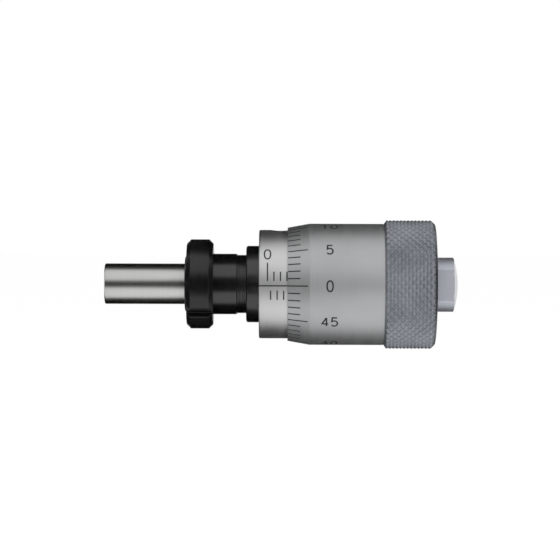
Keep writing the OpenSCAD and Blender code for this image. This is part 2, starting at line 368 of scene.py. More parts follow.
@dataclass(frozen=True)
class TurnedMetal:
    """A metal surface with the fine lines that turning, grinding or brushing leaves round the axis."""

    name: str
    dark: Colour
    light: Colour
    roughness: float
    roughness_spread: float
    line_pitch: float
    line_run: float
    line_height: float
    tone_size: float
    metallic: float = 1.0
    ior: float = 1.5

    def material(self) -> bpy.types.Material:
        """Builds the node material.

        The lines are noise that changes fast along the axis and along the radius and slowly round the
        axis. They drive the roughness and a small bump. A coarser noise drifts between two tones.

        Returns:
            The material.
        """
        material = bpy.data.materials.new(self.name)
        material.use_nodes = True
        graph = Graph(material.node_tree)
        place = graph.add("ShaderNodeTexCoord").outputs["Object"]
        fast, slow = 1 / (MM * self.line_pitch), 1 / (MM * self.line_run)
        stretched = graph.add(
            "ShaderNodeVectorMath", {0: place, 1: (fast, slow, slow)}, operation="MULTIPLY"
        ).outputs[0]
        across = graph.add("ShaderNodeVectorMath", {0: place, 1: (0, fast, fast)}, operation="MULTIPLY")
        radius = graph.add("ShaderNodeVectorMath", {0: across.outputs[0]}, operation="LENGTH")
        lines = graph.add(
            "ShaderNodeTexNoise",
            {"Vector": stretched, "W": radius.outputs["Value"], "Scale": 1.0, "Detail": LINE_DETAIL},
            noise_dimensions="4D",
        ).outputs[0]
        drift = graph.add(
            "ShaderNodeTexNoise",
            {"Vector": place, "Scale": 1 / (MM * self.tone_size), "Detail": TONE_DETAIL},
        ).outputs[0]
        tone = graph.math("MULTIPLY_ADD", lines, LINE_SHARE, graph.math("MULTIPLY", drift, 1 - LINE_SHARE))
        share = graph.remap(tone, TONE_RANGE, 0.0, 1.0)
        colour = graph.add(
            "ShaderNodeMix",
            {"Factor": share, "A": (*self.dark, 1), "B": (*self.light, 1)},
            data_type="RGBA",
        )
        spread = self.roughness_spread
        rough = graph.remap(lines, ROUGH_RANGE, self.roughness - spread, self.roughness + spread)
        bump = graph.add(
            "ShaderNodeBump", {"Height": lines, "Strength": 1.0, "Distance": self.line_height * MM}
        )
        shader = graph.add(
            "ShaderNodeBsdfPrincipled",
            {
                "Base Color": colour.outputs["Result"],
                "Metallic": self.metallic,
                "Roughness": rough,
                "IOR": self.ior,
                "Normal": bump.outputs[0],
            },
        )
        graph.add("ShaderNodeOutputMaterial", {"Surface": shader.outputs[0]})
        return material


class Finish(Enum):
    """The finishes of the head's pieces, where the knurl's and the rear chamfer's chrome are darker with
    painted shade.
    """

    SATIN_SLEEVE = TurnedMetal(
        "satin_chrome_sleeve",
        dark=(0.57, 0.575, 0.57),
        light=(0.62, 0.625, 0.62),
        roughness=0.42,
        roughness_spread=0.03,
        line_pitch=0.30,
        line_run=9.0,
        line_height=0.0002,
        tone_size=9.0,
    )
    SATIN_THIMBLE = TurnedMetal(
        "satin_chrome_thimble",
        dark=(0.43, 0.435, 0.44),
        light=(0.475, 0.48, 0.485),
        roughness=0.51,
        roughness_spread=0.03,
        line_pitch=0.30,
        line_run=9.0,
        line_height=0.0002,
        tone_size=9.0,
    )
    # The knurl's chrome is the thimble's own with darker tones: painted shade for the self-shadow and dark
    # reflection between the diamonds. Its blue tint is the plating's.
    KNURL_CHROME = TurnedMetal(
        "satin_chrome_knurl_painted_shade",
        dark=(0.29, 0.31, 0.34),
        light=(0.35, 0.37, 0.405),
        roughness=0.52,
        roughness_spread=0.05,
        line_pitch=0.12,
        line_run=2.0,
        line_height=0.0006,
        tone_size=3.0,
    )
    # Painted shade: a darker copy of the thimble's chrome for the rear chamfer, standing in for the dark
    # reflection that its rearward lean catches.
    CHAMFER_CHROME = TurnedMetal(
        "chamfer_chrome_painted_shade",
        dark=(0.18, 0.19, 0.205),
        light=(0.22, 0.23, 0.25),
        roughness=0.46,
        roughness_spread=0.05,
        line_pitch=0.12,
        line_run=4.0,
        line_height=0.0004,
        tone_size=3.0,
    )
    CAP_CHROME = TurnedMetal(
        "bright_cap_chrome",
        dark=(0.55, 0.565, 0.62),
        light=(0.60, 0.62, 0.68),
        roughness=0.52,
        roughness_spread=0.03,
        line_pitch=0.20,
        line_run=5.0,
        line_height=0.0003,
        tone_size=4.0,
    )
    POLISHED_DOME = TurnedMetal(
        "polished_cap_dome",
        dark=(0.56, 0.57, 0.60),
        light=(0.61, 0.62, 0.65),
        roughness=0.22,
        roughness_spread=0.02,
        line_pitch=0.15,
        line_run=6.0,
        line_height=0.00005,
        tone_size=4.0,
    )
    GROUND_STEEL = TurnedMetal(
        "ground_steel",
        dark=(0.54, 0.54, 0.53),
        light=(0.58, 0.58, 0.57),
        roughness=0.30,
        roughness_spread=0.01,
        line_pitch=0.25,
        line_run=20.0,
        line_height=0.0,
        tone_size=9.0,
    )
    BLACK_OXIDE = TurnedMetal(
        "black_oxide",
        dark=(0.0026, 0.0026, 0.0028),
        light=(0.0056, 0.0056, 0.0058),
        roughness=0.20,
        roughness_spread=0.02,
        line_pitch=0.25,
        line_run=9.0,
        line_height=0.00002,
        tone_size=5.0,
        metallic=0.0,
        ior=1.65,
    )
    BLACK_NUT = TurnedMetal(
        "black_oxide_nut",
        dark=(0.003, 0.003, 0.0032),
        light=(0.007, 0.007, 0.0072),
        roughness=0.24,
        roughness_spread=0.02,
        line_pitch=0.25,
        line_run=6.0,
        line_height=0.00003,
        tone_size=5.0,
        metallic=0.0,
        ior=1.46,
    )
    TURNED_STEEL = TurnedMetal(
        "turned_steel",
        dark=(0.36, 0.36, 0.35),
        light=(0.45, 0.45, 0.44),
        roughness=0.40,
        roughness_spread=0.08,
        line_pitch=0.10,
        line_run=6.0,
        line_height=0.0010,
        tone_size=6.0,
    )
    LINE_FILL = TurnedMetal(
        "black_line_fill",
        dark=(0.012, 0.013, 0.014),
        light=(0.024, 0.025, 0.026),
        roughness=0.60,
        roughness_spread=0.10,
        line_pitch=0.2,
        line_run=0.3,
        line_height=0.0006,
        tone_size=1.0,
        metallic=0.0,
        ior=1.40,
    )

    @lru_cache(maxsize=None)
    def material(self) -> bpy.types.Material:
        """The finish's material, built once."""
        return self.value.material()


class SubAssembly(ABC):
    """Pieces that ride one body of the frame."""

    body: str

    @abstractmethod
    def build(self) -> list[bpy.types.Object]:
        """Makes the meshes."""

    def dress(self, piece: bpy.types.Object, finish: Finish, slot: str, *nodes: str) -> bpy.types.Object:
        """Gives a piece its finish and its body, and hides the nodes that it replaces.

        Args:
            piece: The new piece.
            finish: Its finish.
            slot: The record's material slot that it belongs to; not used.
            nodes: Nodes of the frame that it replaces.

        Returns:
            The piece.
        """
        piece.data.materials.clear()
        piece.data.materials.append(finish.material())
        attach(piece, self.body)
        if nodes:
            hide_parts(*nodes)
        return piece

    def refinish(
        self, piece: bpy.types.Object, finish: Finish, leans: tuple[float, float], behind: float
    ) -> None:
        """Gives the faces that lean to the rear within bounds, behind a station, a material of their own:
        on the thimble's rear chamfer a darker chrome that paints shade, on the cap's dome a polished
        chrome.

        Args:
            piece: A dressed piece.
            finish: Finish of those faces.
            leans: Least and greatest part of their normal along the axis.
            behind: Station behind which they lie.
        """
        low, high = leans
        faces = piece.data.polygons
        lean, place = np.empty((2, len(faces), 3), dtype=np.float32)
        faces.foreach_get("normal", lean.reshape(-1))
        faces.foreach_get("center", place.reshape(-1))
        chosen = (lean[:, 0] > low) & (lean[:, 0] < high) & (place[:, 0] > behind * MM)
        piece.data.materials.append(finish.material())
        faces.foreach_set("material_index", chosen.astype(np.int32))


@dataclass
class Stem(SubAssembly):
    """The blackened stem: threaded nose, mounting land, relief groove, collar and hidden barrel."""

    body: str = "stem"
    thread_d: float = 9.0
    thread_pitch: float = 0.5
    thread_depth: float = 0.29
    thread_rows: int = 97
    # The thread's ring begins behind the nose, ends before the land and is closed under its root.
    thread_lead: float = 0.06
    thread_gap: float = 0.1
    thread_bury: float = 0.12
    run_out_l: float = 0.25
    run_out_slope: float = 1.2
    # The body lies under the thread's root, with a shoulder up to the land and a nose inside the chamfer.
    core_gap: float = 0.03
    shoulder_l: float = 0.12
    nose_gap: float = 0.05
    nose_chamfer: float = 0.3
    land_d: float = 9.5
    land_l: float = 4.0
    groove_d: float = 9.15
    groove_l: float = 1.5
    collar_d: float = 12.0
    collar_l: float = 2.0
    collar_round: float = 0.08
    edge: float = 0.2
    guide_r: float = 3.19
    guide_l: float = 10.8
    relief_r: float = 3.82
    feed_bore_r: float = 3.52
    feed_bore_l: float = 10.2
    barrel_step: float = 0.35
    split_d: float = 10.6
    split_taper: float = 0.03
    split_slots: int = 3
    split_slot_w: float = 0.6
    # The turned body reaches this far into the roots of the fingers.
    finger_bury: float = 0.2
    finger_round: float = 0.06
    finger_columns: int = 25
    tool_lines: tuple[float, ...] = (0.26, 0.50, 0.72, 0.97, 1.19, 1.36)
    tool_line_w: float = 0.11
    tool_line_depth: float = 0.035
    span: Span = field(default_factory=lambda: Span.of("stem"))

    def build(self) -> list[bpy.types.Object]:
        """Makes the stem and the thread of its nose.

        Returns:
            The dressed pieces.
        """
        return [
            self.dress(self._turned(), Finish.BLACK_OXIDE, "black_oxide", "stem"),
            self.dress(self._thread(), Finish.BLACK_OXIDE, "black_oxide"),
        ]

    @property
    def sleeve_station(self) -> float:
        """Station where the collar ends and the barrel begins."""
        return self.land_l / 2 + self.groove_l + self.collar_l

    def _split_r(self, station: float) -> float:
        """Radius of the split rear end at a station."""
        return (self.split_d - self.split_taper * (station - self.sleeve_station)) / 2

    def _groove(self) -> list[tuple[float, float, float]]:
        """Corners of the relief groove's floor, with the fine lines that the tool left in it.

        Returns:
            Rows of (station, radius, rounding).
        """
        front = self.land_l / 2
        floor = self.groove_d / 2
        half = self.tool_line_w / 2
        rows = [(front, self.land_d / 2, Edge.FINE), (front + self.edge / 2, floor, Edge.FINE)]
        for line in self.tool_lines:
            rows += [
                (front + line - half, floor, Edge.SHARP),
                (front + line, floor - self.tool_line_depth, Edge.SHARP),
                (front + line + half, floor, Edge.SHARP),
            ]
        return rows + [(front + self.groove_l, floor, Edge.BROKEN)]

    def _turned(self) -> bpy.types.Object:
        """The stem's body: its profile turned about the axis, and the fingers of its split end.

        Returns:
            The new object.
        """
        nose, end = self.span.front, self.span.rear
        core = self.thread_d / 2 - self.thread_depth - self.core_gap
        land = self.land_l / 2
        collar = land + self.groove_l
        seat = self.sleeve_station
        thread_x = end - self.feed_bore_l
        barrel_end = thread_x - self.barrel_step
        fingers = thread_x + self.barrel_step
        corners = [
            (nose, self.guide_r, Edge.MOUTH),
            (nose, self.thread_d / 2 - self.nose_chamfer - self.nose_gap, Edge.BROKEN),
            (nose + self.nose_chamfer, core, Edge.HIDDEN),
            (-land - self.shoulder_l, core, Edge.HIDDEN),
            (-land, self.thread_d / 2, Edge.FINE),
            (-land + self.edge, self.land_d / 2, Edge.BROKEN),
            *self._groove(),
            (collar, self.collar_d / 2 - self.edge, self.collar_round),
            (collar + self.edge, self.collar_d / 2, self.collar_round),
            (seat, self.collar_d / 2, Edge.FINE),
            (seat, self.span.radius, Edge.BROKEN),
            (barrel_end, self.span.radius, Edge.BROKEN),
            (barrel_end, self._split_r(barrel_end), Edge.EASED),
            (fingers + self.finger_bury, self._split_r(fingers), Edge.HIDDEN),
            (fingers + self.finger_bury, self.feed_bore_r, Edge.HIDDEN),
            (thread_x, self.feed_bore_r, Edge.HIDDEN),
            (thread_x, self.relief_r, Edge.HIDDEN),
            (nose + self.guide_l, self.relief_r, Edge.HIDDEN),
            (nose + self.guide_l, self.guide_r, Edge.HIDDEN),
        ]
        shell = Shell("stem_body").grid(lathe(rounded(corners), around()))
        return self._fingers(shell, fingers, end).make()

    def _fingers(self, shell: Shell, start: float, end: float) -> Shell:
        """Adds the fingers between the slots of the split end.

        A finger is the closed section between the feed thread and the taper, swept between two slot
        walls. A wall stands half a slot from the slot's middle plane, so at radius r its angle is that
        of the slot plus asin(w / 2r).

        Args:
            shell: Shell that takes the grids.
            start: Station where the slots begin.
            end: Station of the stem's rear end.

        Returns:
            The shell.
        """
        section = rounded(
            [
                (start, self.feed_bore_r, Edge.HIDDEN),
                (start, self._split_r(start), Edge.HIDDEN),
                (end, self._split_r(end), self.finger_round),
                (end, self.feed_bore_r, Edge.MOUTH),
            ],
            steps=3,
        )
        share = TURN / self.split_slots
        lean = np.arcsin(self.split_slot_w / 2 / section[:, 1])[None, :, None]
        run = np.linspace(0.0, 1.0, self.finger_columns)[None, None]
        first = share * np.arange(self.split_slots)[:, None, None]
        angles = first + lean + (share - 2 * lean) * run
        sweep = polar(section[None, :, 0, None], section[None, :, 1, None], angles)
        middle = sweep[:, :-1].mean(axis=1, keepdims=True)
        for wall in (0, -1):
            rim = sweep[:, :, wall]
            shell.grid(np.stack([rim, np.broadcast_to(middle[:, :, wall], rim.shape)], axis=2))
        return shell.grid(sweep)

    def _thread(self) -> bpy.types.Object:
        """The nose's thread, a height field round the core.

        The radius falls from the crest by the depth times the thread's fall, and the nose's chamfer and
        the run-out before the land bound it.

        Returns:
            The new object.
        """
        crest = self.thread_d / 2
        root = crest - self.thread_depth
        front, rear = self.span.front + self.thread_lead, -self.land_l / 2 - self.thread_gap
        x = np.linspace(front, rear, self.thread_rows)[:, None]
        angle = around(THREAD_SIDES)[None]
        thread = crest - self.thread_depth * thread_fall(x, angle, self.thread_pitch)
        chamfer = crest - self.nose_chamfer + (x - self.span.front)
        run_out = root + np.clip((rear - self.run_out_l - x) * self.run_out_slope, 0.0, 1.0)
        radius = np.minimum(np.minimum(thread, chamfer), run_out)
        return thread_ring("stem_thread", x, angle, radius, root - self.thread_bury)


@dataclass
class ClampNut(SubAssembly):
    """The blackened round nut with spanner slots."""

    body: str = "clamp_nut"
    chamfer: float = 0.65
    bore_r: float = 4.52
    counterbore_r: float = 4.77
    counterbore_l: float = 0.37
    thread_pitch: float = 0.5
    thread_depth: float = 0.2
    thread_rows: int = 85
    # The thread's ring stands in from both ends, and it is closed inside the body, past the body's bore.
    thread_lead: float = 0.1
    thread_tail: float = 0.01
    thread_gap: float = 0.02
    thread_bury: float = 0.1
    slots: int = 2
    slot_w: float = 1.65
    slot_depth: float = 1.0
    slot_angle_deg: float = -38.5
    slot_edge: float = 0.12
    slot_spread: float = 0.3
    # Points of the slot's outline: round its lip and corner, along its wall and clear of their ends.
    lip_points: int = 7
    wall_points: int = 3
    slot_wall_gap: float = 0.04
    slot_floor_gap: float = 0.05
    arc_columns: int = 80
    span: Span = field(default_factory=lambda: Span.of("clamp_nut"))

    def build(self) -> list[bpy.types.Object]:
        """Makes the nut and its thread.

        Returns:
            The dressed pieces.
        """
        front, rear, radius = self.span.front, self.span.rear, self.span.radius
        root = self.bore_r + self.thread_depth + self.thread_gap
        corners = [
            (front, root, Edge.HIDDEN),
            (front, radius - self.chamfer, Edge.EASED),
            (front + self.chamfer, radius, Edge.EASED),
            (rear - self.chamfer, radius, Edge.EASED),
            (rear, radius - self.chamfer, Edge.EASED),
            (rear, self.counterbore_r, Edge.MOUTH),
            (rear - self.counterbore_l, self.counterbore_r, Edge.HIDDEN),
            (rear - self.counterbore_l, root, Edge.HIDDEN),
        ]
        profile = rounded(corners)
        nut = Shell("clamp_nut_body").grid(lathe(profile, *self._outline(profile, root))).make()
        return [
            self.dress(nut, Finish.BLACK_NUT, "black_oxide", "clamp_nut"),
            self.dress(self._thread(), Finish.BLACK_NUT, "black_oxide"),
        ]

    def _thread(self) -> bpy.types.Object:
        """The nut's thread, a height field inside its bore.

        The radius rises from the crest by the depth times the thread's fall.

        Returns:
            The new object.
        """
        rear = self.span.rear - self.counterbore_l - self.thread_tail
        x = np.linspace(self.span.front + self.thread_lead, rear, self.thread_rows)[:, None]
        angle = around(THREAD_SIDES)[None]
        radius = self.bore_r + self.thread_depth * thread_fall(x, angle, self.thread_pitch)
        foot = self.bore_r + self.thread_depth + self.thread_bury
        return thread_ring("clamp_nut_thread", x, angle, radius, foot)

    def _outline(self, profile: Floats, root: float) -> tuple[Floats, Floats]:
        """Outline of the nut's round with its slots.

        One slot is a chain of (across, up) points in the slot's own plane: the rounded lip, the wall,
        the corner and the floor, mirrored. Their polar form is turned to each slot in turn, and the
        plain arc of the round joins it to the next. A row of a smaller radius follows the wall down.
        Inside the slots' floor the columns stand further across the more their point rises over the
        floor, so that the end faces don't fold at the walls.

        Args:
            profile: Rows of (station, radius) of the nut.
            root: Radius of the bore.

        Returns:
            The angle at each row and column, and the largest radius at each column.
        """
        radius, half, lip = self.span.radius, self.slot_w / 2, self.slot_edge
        floor = radius - self.slot_depth
        t = np.linspace(0.0, TOP, self.lip_points)
        lip_x = half + lip * (1 - np.sin(t))
        lip_y = np.sqrt(radius**2 - (half + lip) ** 2) - lip * (1 - np.cos(t))
        corner_x = half - lip * (1 - np.cos(t))
        corner_y = floor + lip * (1 - np.sin(t))
        gap = self.slot_wall_gap
        wall_y = np.linspace(lip_y[-1] - gap, floor + lip + gap, self.wall_points)
        wall_x = np.full_like(wall_y, half)
        side_x = np.concatenate([lip_x, wall_x, corner_x, [half - lip - self.slot_floor_gap]])
        side_y = np.concatenate([lip_y, wall_y, corner_y, [floor]])
        across = np.concatenate([side_x, -side_x[::-1]])
        up = np.concatenate([side_y, side_y[::-1]])
        foot = across + np.sign(across) * self.slot_spread * (up - floor)
        slot_r, row_r = np.hypot(across, up), profile[:, 1:]
        wall_r = np.minimum(np.maximum(row_r, floor), slot_r)
        sine = np.where(row_r < floor, foot / root, across / wall_r)
        slot_a = np.arcsin(-sine)
        share = TURN / self.slots
        arc_a = np.linspace(slot_a[:, -1], share + slot_a[:, 0], self.arc_columns, axis=1)[:, 1:-1]
        one_r = np.concatenate([slot_r, np.full(arc_a.shape[1], radius)])
        one_a = np.concatenate([slot_a, arc_a], axis=1)
        turns = share * np.arange(self.slots) + np.radians(self.slot_angle_deg)
        angles = (one_a[:, None] + turns[:, None]).reshape(len(profile), -1)
        outline = np.tile(one_r, self.slots)
        return np.column_stack([angles, angles[:, 0] + TURN]), np.append(outline, outline[0])


@dataclass
class Spindle(SubAssembly):
    """The ground spindle with its measuring face, and its hidden feed thread drawn as a plain round."""

    body: str = "spindle"
    plain_d: float = 6.35
    tip_chamfer: float = 0.12
    thread_front: float = 8.05
    taper_front: float = 28.84
    taper_r: float = 3.308
    taper_end_r: float = 3.125
    screw_bore_r: float = 2.02
    screw_bore_l: float = 5.85
    span: Span = field(default_factory=lambda: Span.of("spindle"))

    def build(self) -> list[bpy.types.Object]:
        """Makes the spindle.

        Returns:
            The dressed pieces.
        """
        tip, end, plain = self.span.front, self.span.rear, self.plain_d / 2
        bore_x = end - self.screw_bore_l
        corners = [
            (tip, 0.0, Edge.SHARP),
            (tip, plain - self.tip_chamfer, Edge.BROKEN),
            (tip + self.tip_chamfer, plain, Edge.BROKEN),
            (self.thread_front, plain, Edge.BROKEN),
            (self.thread_front, self.span.radius, Edge.BROKEN),
            (self.taper_front, self.span.radius, Edge.BROKEN),
            (self.taper_front, self.taper_r, Edge.HIDDEN),
            (end, self.taper_end_r, Edge.BROKEN),
            (end, self.screw_bore_r, Edge.MOUTH),
            (bore_x, self.screw_bore_r, Edge.HIDDEN),
            (bore_x - self.screw_bore_r / 2, 0.0, Edge.SHARP),
        ]
        bar = Shell("spindle_bar").grid(lathe(rounded(corners)[:-1], around())).make()
        return [self.dress(bar, Finish.GROUND_STEEL, "ground_steel", "spindle")]


@dataclass(frozen=True)
class Numeral:
    """A number drawn with strokes, as an engraver's pantograph cuts it."""

    text: str
    height: float
    stroke: float
    width_share: float = 0.57
    pitch_share: float = 0.90
    squareness: float = 2.3

    def strokes(self) -> list[Floats]:
        """Paths of the number's strokes.

        Each digit is made of straight runs and of arcs, centre + (a cos t, b sin t), in a box of height
        1, set side by side and centred.

        Returns:
            Arrays of (along, up) points in millimetres, from the middle of the number.
        """
        total = self.pitch_share * (len(self.text) - 1) + self.width_share
        paths: list[Floats] = []
        for place, digit in enumerate(self.text):
            left = place * self.pitch_share - total / 2
            for path in self._digit(digit):
                paths.append(self._dense((path + np.array([left, -0.5])) * self.height))
        return paths

    def _dense(self, path: Floats, pieces: int = 5) -> Floats:
        """The path with each of its runs cut into equal pieces, so that it can follow a round surface.

        Args:
            path: Points of the path.
            pieces: Pieces in each run.

        Returns:
            Points of the cut path.
        """
        t = np.linspace(0.0, 1.0, pieces, endpoint=False)[None, :, None]
        runs = path[:-1, None] * (1 - t) + path[1:, None] * t
        return np.concatenate([runs.reshape(-1, 2), path[-1:]])

    def _arc(
        self,
        centre: tuple[float, float],
        size: tuple[float, float],
        start: float,
        stop: float,
        count: int = 25,
    ) -> Floats:
        """Points of an arc between two angles in degrees."""
        t = np.radians(np.linspace(start, stop, count))
        return stacked(centre[0] + size[0] * np.cos(t), centre[1] + size[1] * np.sin(t))

    def _digit(self, digit: str) -> list[Floats]:
        """Strokes of one digit, in a box of height 1 from its lower left corner.

        Args:
            digit: One of 0 to 5, which are all that the scales use.

        Returns:
            Paths of the strokes.
        """
        w = self.width_share
        half = w / 2
        if digit == "0":
            circle = self._arc((0.0, 0.0), (1.0, 1.0), 0, 360, 49)
            oval = np.sign(circle) * np.abs(circle) ** (2 / self.squareness)
            return [np.array([half, 0.5]) * (1 + oval)]
        if digit == "1":
            return [np.array([[half - 0.22, 0.78], [half + 0.02, 1.0], [half + 0.02, 0.0]])]
        if digit == "2":
            bowl = self._arc((half, 0.70), (half, 0.30), 165, -32)
            return [np.concatenate([bowl, [[0.02, 0.0], [w, 0.0]]])]
        if digit == "3":
            upper = self._arc((half, 0.74), (half * 0.88, 0.26), 150, -80)
            lower = self._arc((half, 0.26), (half, 0.26), 82, -150)
            return [upper, lower]
        if digit == "4":
            post = np.array([[0.74 * w, 0.0], [0.74 * w, 1.0]])
            return [post, np.array([[0.70 * w, 1.0], [0.0, 0.28], [1.05 * w, 0.28]])]
        bowl = self._arc((half - 0.02, 0.32), (half + 0.02, 0.32), 128, -145)
        return [np.concatenate([[[0.92 * w, 1.0], [0.12 * w, 1.0], [0.06 * w, 0.55]], bowl])]


@dataclass(frozen=True)
class Engraving:
    """Filled lines that lie on a turned surface."""

    radius: Callable[[Floats], Floats]
    reference_r: float
    proud: float = 0.008
    sunk: float = 0.05
    least_turn: float = 0.6
    tiny: float = 1e-9

    def _slab(self, left: Floats, right: Floats) -> Floats:
        """Closed strip between two edges, as grids.

        Args:
            left: Array of (strips, n, 2) points, (station, arc length) along one edge.
            right: The same along the other edge.

        Returns:
            Grids of (strips, n, 5, 3) points, a four-sided tube along each strip.
        """
        edges = np.stack([left, right, right, left, left], axis=-2)
        lift = np.array([self.proud, self.proud, -self.sunk, -self.sunk, self.proud])
        station = edges[..., 0]
        return polar(station, self.radius(station) + lift, edges[..., 1] / self.reference_r)

    def _add(self, shell: Shell, left: Floats, right: Floats) -> None:
        """Adds closed strips with their end caps to a shell.

        Args:
            shell: Shell that takes the strips.
            left: Points along one edge of each strip.
            right: Points along the other.
        """
        tube = self._slab(left, right)
        shell.grid(tube)
        for end in (0, -1):
            rim = tube[:, end]
            shell.grid(np.stack([rim[:, [0, 1]], rim[:, [3, 2]]], axis=1))

    def bars(self, shell: Shell, start: Floats, stop: Floats, width: float, points: int = 9) -> None:
        """Adds straight marks.

        A mark is the strip of the given width round the line from start to stop.

        Args:
            shell: Shell that takes the marks.
            start: Array of (marks, 2) points, (station, arc length).
            stop: The same at the other end.
            width: Width of the marks.
            points: Points along each mark.
        """
        t = np.linspace(0.0, 1.0, points)[None, :, None]
        line = start[:, None] * (1 - t) + stop[:, None] * t
        along = (stop - start) / np.linalg.norm(stop - start, axis=1, keepdims=True)
        side = stacked(-along[:, 1], along[:, 0])[:, None] * width / 2
        self._add(shell, line + side, line - side)

    def number(self, shell: Shell, numeral: Numeral, station: float, arc: float) -> None:
        """Adds a number centred at a station and an arc length.

        The strip's edges stand half a stroke from the path along its mean normal, stretched at bends.

        Args:
            shell: Shell that takes the number.
            numeral: The number.
            station: Station of its middle.
            arc: Arc length of its middle from the index line.
        """
        for path in numeral.strokes():
            step = np.diff(path, axis=0)
            step = step / np.maximum(np.linalg.norm(step, axis=1, keepdims=True), self.tiny)
            closed = np.allclose(path[0], path[-1])
            first = step[-1:] if closed else step[:1]
            last = step[:1] if closed else step[-1:]
            ahead = np.concatenate([step, last])
            mean = np.concatenate([first, step]) + ahead
            mean = mean / np.maximum(np.linalg.norm(mean, axis=1, keepdims=True), self.tiny)
            turn = np.clip((mean * ahead).sum(axis=1, keepdims=True), self.least_turn, 1.0)
            side = stacked(-mean[:, 1], mean[:, 0]) / turn * numeral.stroke / 2
            middle = path + np.array([station, arc])
            self._add(shell, (middle + side)[None], (middle - side)[None])


@dataclass
class Sleeve(SubAssembly):
    """The satin-chromed sleeve with the linear scale and the spanner hole."""

    body: str = "sleeve"
    wall: float = 0.9
    edge: float = 0.15
    hole_d: float = 2.9
    hole_offset: float = 3.35
    hole_edge: float = 0.08
    lip_share: float = 0.3
    # The panel reaches past the hole on all sides, and its rings stand at shares of the way to the hole.
    panel: float = 0.45
    panel_columns: int = 16
    ring_shares: tuple[float, ...] = (0.0, 0.5, 0.85, 1.0)
    front_rows: int = 4
    rear_rows: int = 8
    # The corners of the broken edges are rounded over the first length and set in by the second.
    soft: float = 0.02
    soft_in: float = 0.008
    zero_offset: float = 1.34
    travel: int = 13
    line_w: float = 0.2
    mark_gap: float = 0.74
    mark_l: float = 1.45
    long_mark_l: float = 2.9
    long_every: int = 5
    number_arc: float = 5.13
    number_h: float = 1.65
    number_stroke: float = 0.22
    span: Span = field(default_factory=lambda: Span.of("sleeve"))

    def build(self) -> list[bpy.types.Object]:
        """Makes the tube and its scale.

        Returns:
            The dressed pieces.
        """
        return [
            self.dress(self._tube(), Finish.SATIN_SLEEVE, "satin_chrome", "sleeve"),
            self.dress(self._scale(), Finish.LINE_FILL, "satin_chrome"),
        ]

    def _ring(self, radius: float, reach: float, t: Floats) -> Floats:
        """A circle about the spanner hole's axis, carried onto a radius of the sleeve."""
        x = self.span.front + self.hole_offset + reach * np.cos(t)
        return polar(x, radius, TOP + np.arcsin(reach * np.sin(t) / radius))

    def _border(self, along: Floats, across: Floats) -> tuple[Floats, Floats]:
        """Walks once round the border of a panel.

        Args:
            along: Places of the panel's columns on one axis.
            across: Places of its rows on the other.

        Returns:
            The two places at each point of the border.
        """
        run = len(along) - 1
        first = np.concatenate([along, np.full(run, along[-1]), along[-2::-1], np.full(run, along[0])])
        ends = np.full(run + 1, across[0]), np.full(run, across[-1])
        second = np.concatenate([ends[0], across[1:], ends[1], across[-2::-1]])
        return first, second

    def _skin(self, radius: float, front: float, rear: float, reach: float, angles: Floats) -> list[Floats]:
        """Grids of one skin of the tube, with the panel round the hole left to rings.

        The panel is a square in (station, angle). Its border runs straight to the circle round the hole
        in a few rings, (1-w) border + w circle, and plain grids cover the rest of the skin.

        Args:
            radius: Radius of the skin.
            front: Station where it begins.
            rear: Station where it ends.
            reach: Radius of the circle round the hole that the panel ends on.
            angles: Angles of the columns, from the panel's far side round to its near side.

        Returns:
            Grids of points.
        """
        split = self.panel_columns
        middle = self.span.front + self.hole_offset
        half = self.hole_d / 2 + self.panel
        band = np.linspace(middle - half, middle + half, split + 1)
        grids = [
            polar(np.linspace(front, band[0], self.front_rows)[:, None], radius, angles[None]),
            polar(np.linspace(band[-1], rear, self.rear_rows)[:, None], radius, angles[None]),
            polar(band[:, None], radius, angles[None, split:]),
        ]
        arc = angles[: split + 1]
        border_x, border_a = self._border(band, arc)
        t = np.arctan2((border_a - TOP) / (arc[-1] - TOP), (border_x - middle) / half)
        circle_x = middle + reach * np.cos(t)
        circle_a = TOP + np.arcsin(reach * np.sin(t) / radius)
        w = np.array(self.ring_shares)[:, None]
        ring_x, ring_a = (1 - w) * border_x + w * circle_x, (1 - w) * border_a + w * circle_a
        return [*grids, polar(ring_x, radius, ring_a)]

    def _tube(self) -> bpy.types.Object:
        """The sleeve's tube, drilled from the top, with broken edges.

        Returns:
            The new object.
        """
        outer = self.span.radius
        bore = outer - self.wall
        front, rear = self.span.front, self.span.rear
        soft, inner = self.soft, self.soft_in
        lean = np.arcsin((self.hole_d / 2 + self.panel) / outer)
        panel = np.linspace(TOP - lean, TOP + lean, self.panel_columns + 1)
        angles = np.concatenate([panel, np.linspace(TOP + lean, TOP - lean + TURN, SIDES)[1:]])
        shell = Shell("sleeve_tube")
        for x, inwards in ((front, 1.0), (rear, -1.0)):
            end = np.array(
                [
                    [x + inwards * (self.edge + soft * 2), outer],
                    [x + inwards * (self.edge + soft), outer],
                    [x + inwards * (self.edge - inner), outer - inner],
                    [x + inwards * soft, outer - self.edge + soft],
                    [x, outer - self.edge - inner],
                    [x, outer - self.edge - soft * 2],
                    [x, bore + soft],
                    [x + inwards * soft, bore],
                ]
            )
            shell.grid(lathe(end, angles))
        start, stop = front + self.edge + soft * 2, rear - self.edge - soft * 2
        hole = self.hole_d / 2
        skins = self._skin(outer, start, stop, hole + self.hole_edge, angles)
        for grid in skins + self._skin(bore, front + soft, rear - soft, hole, angles):
            shell.grid(grid)
        return shell.grid(self._hole_wall(outer, bore, panel)).make()

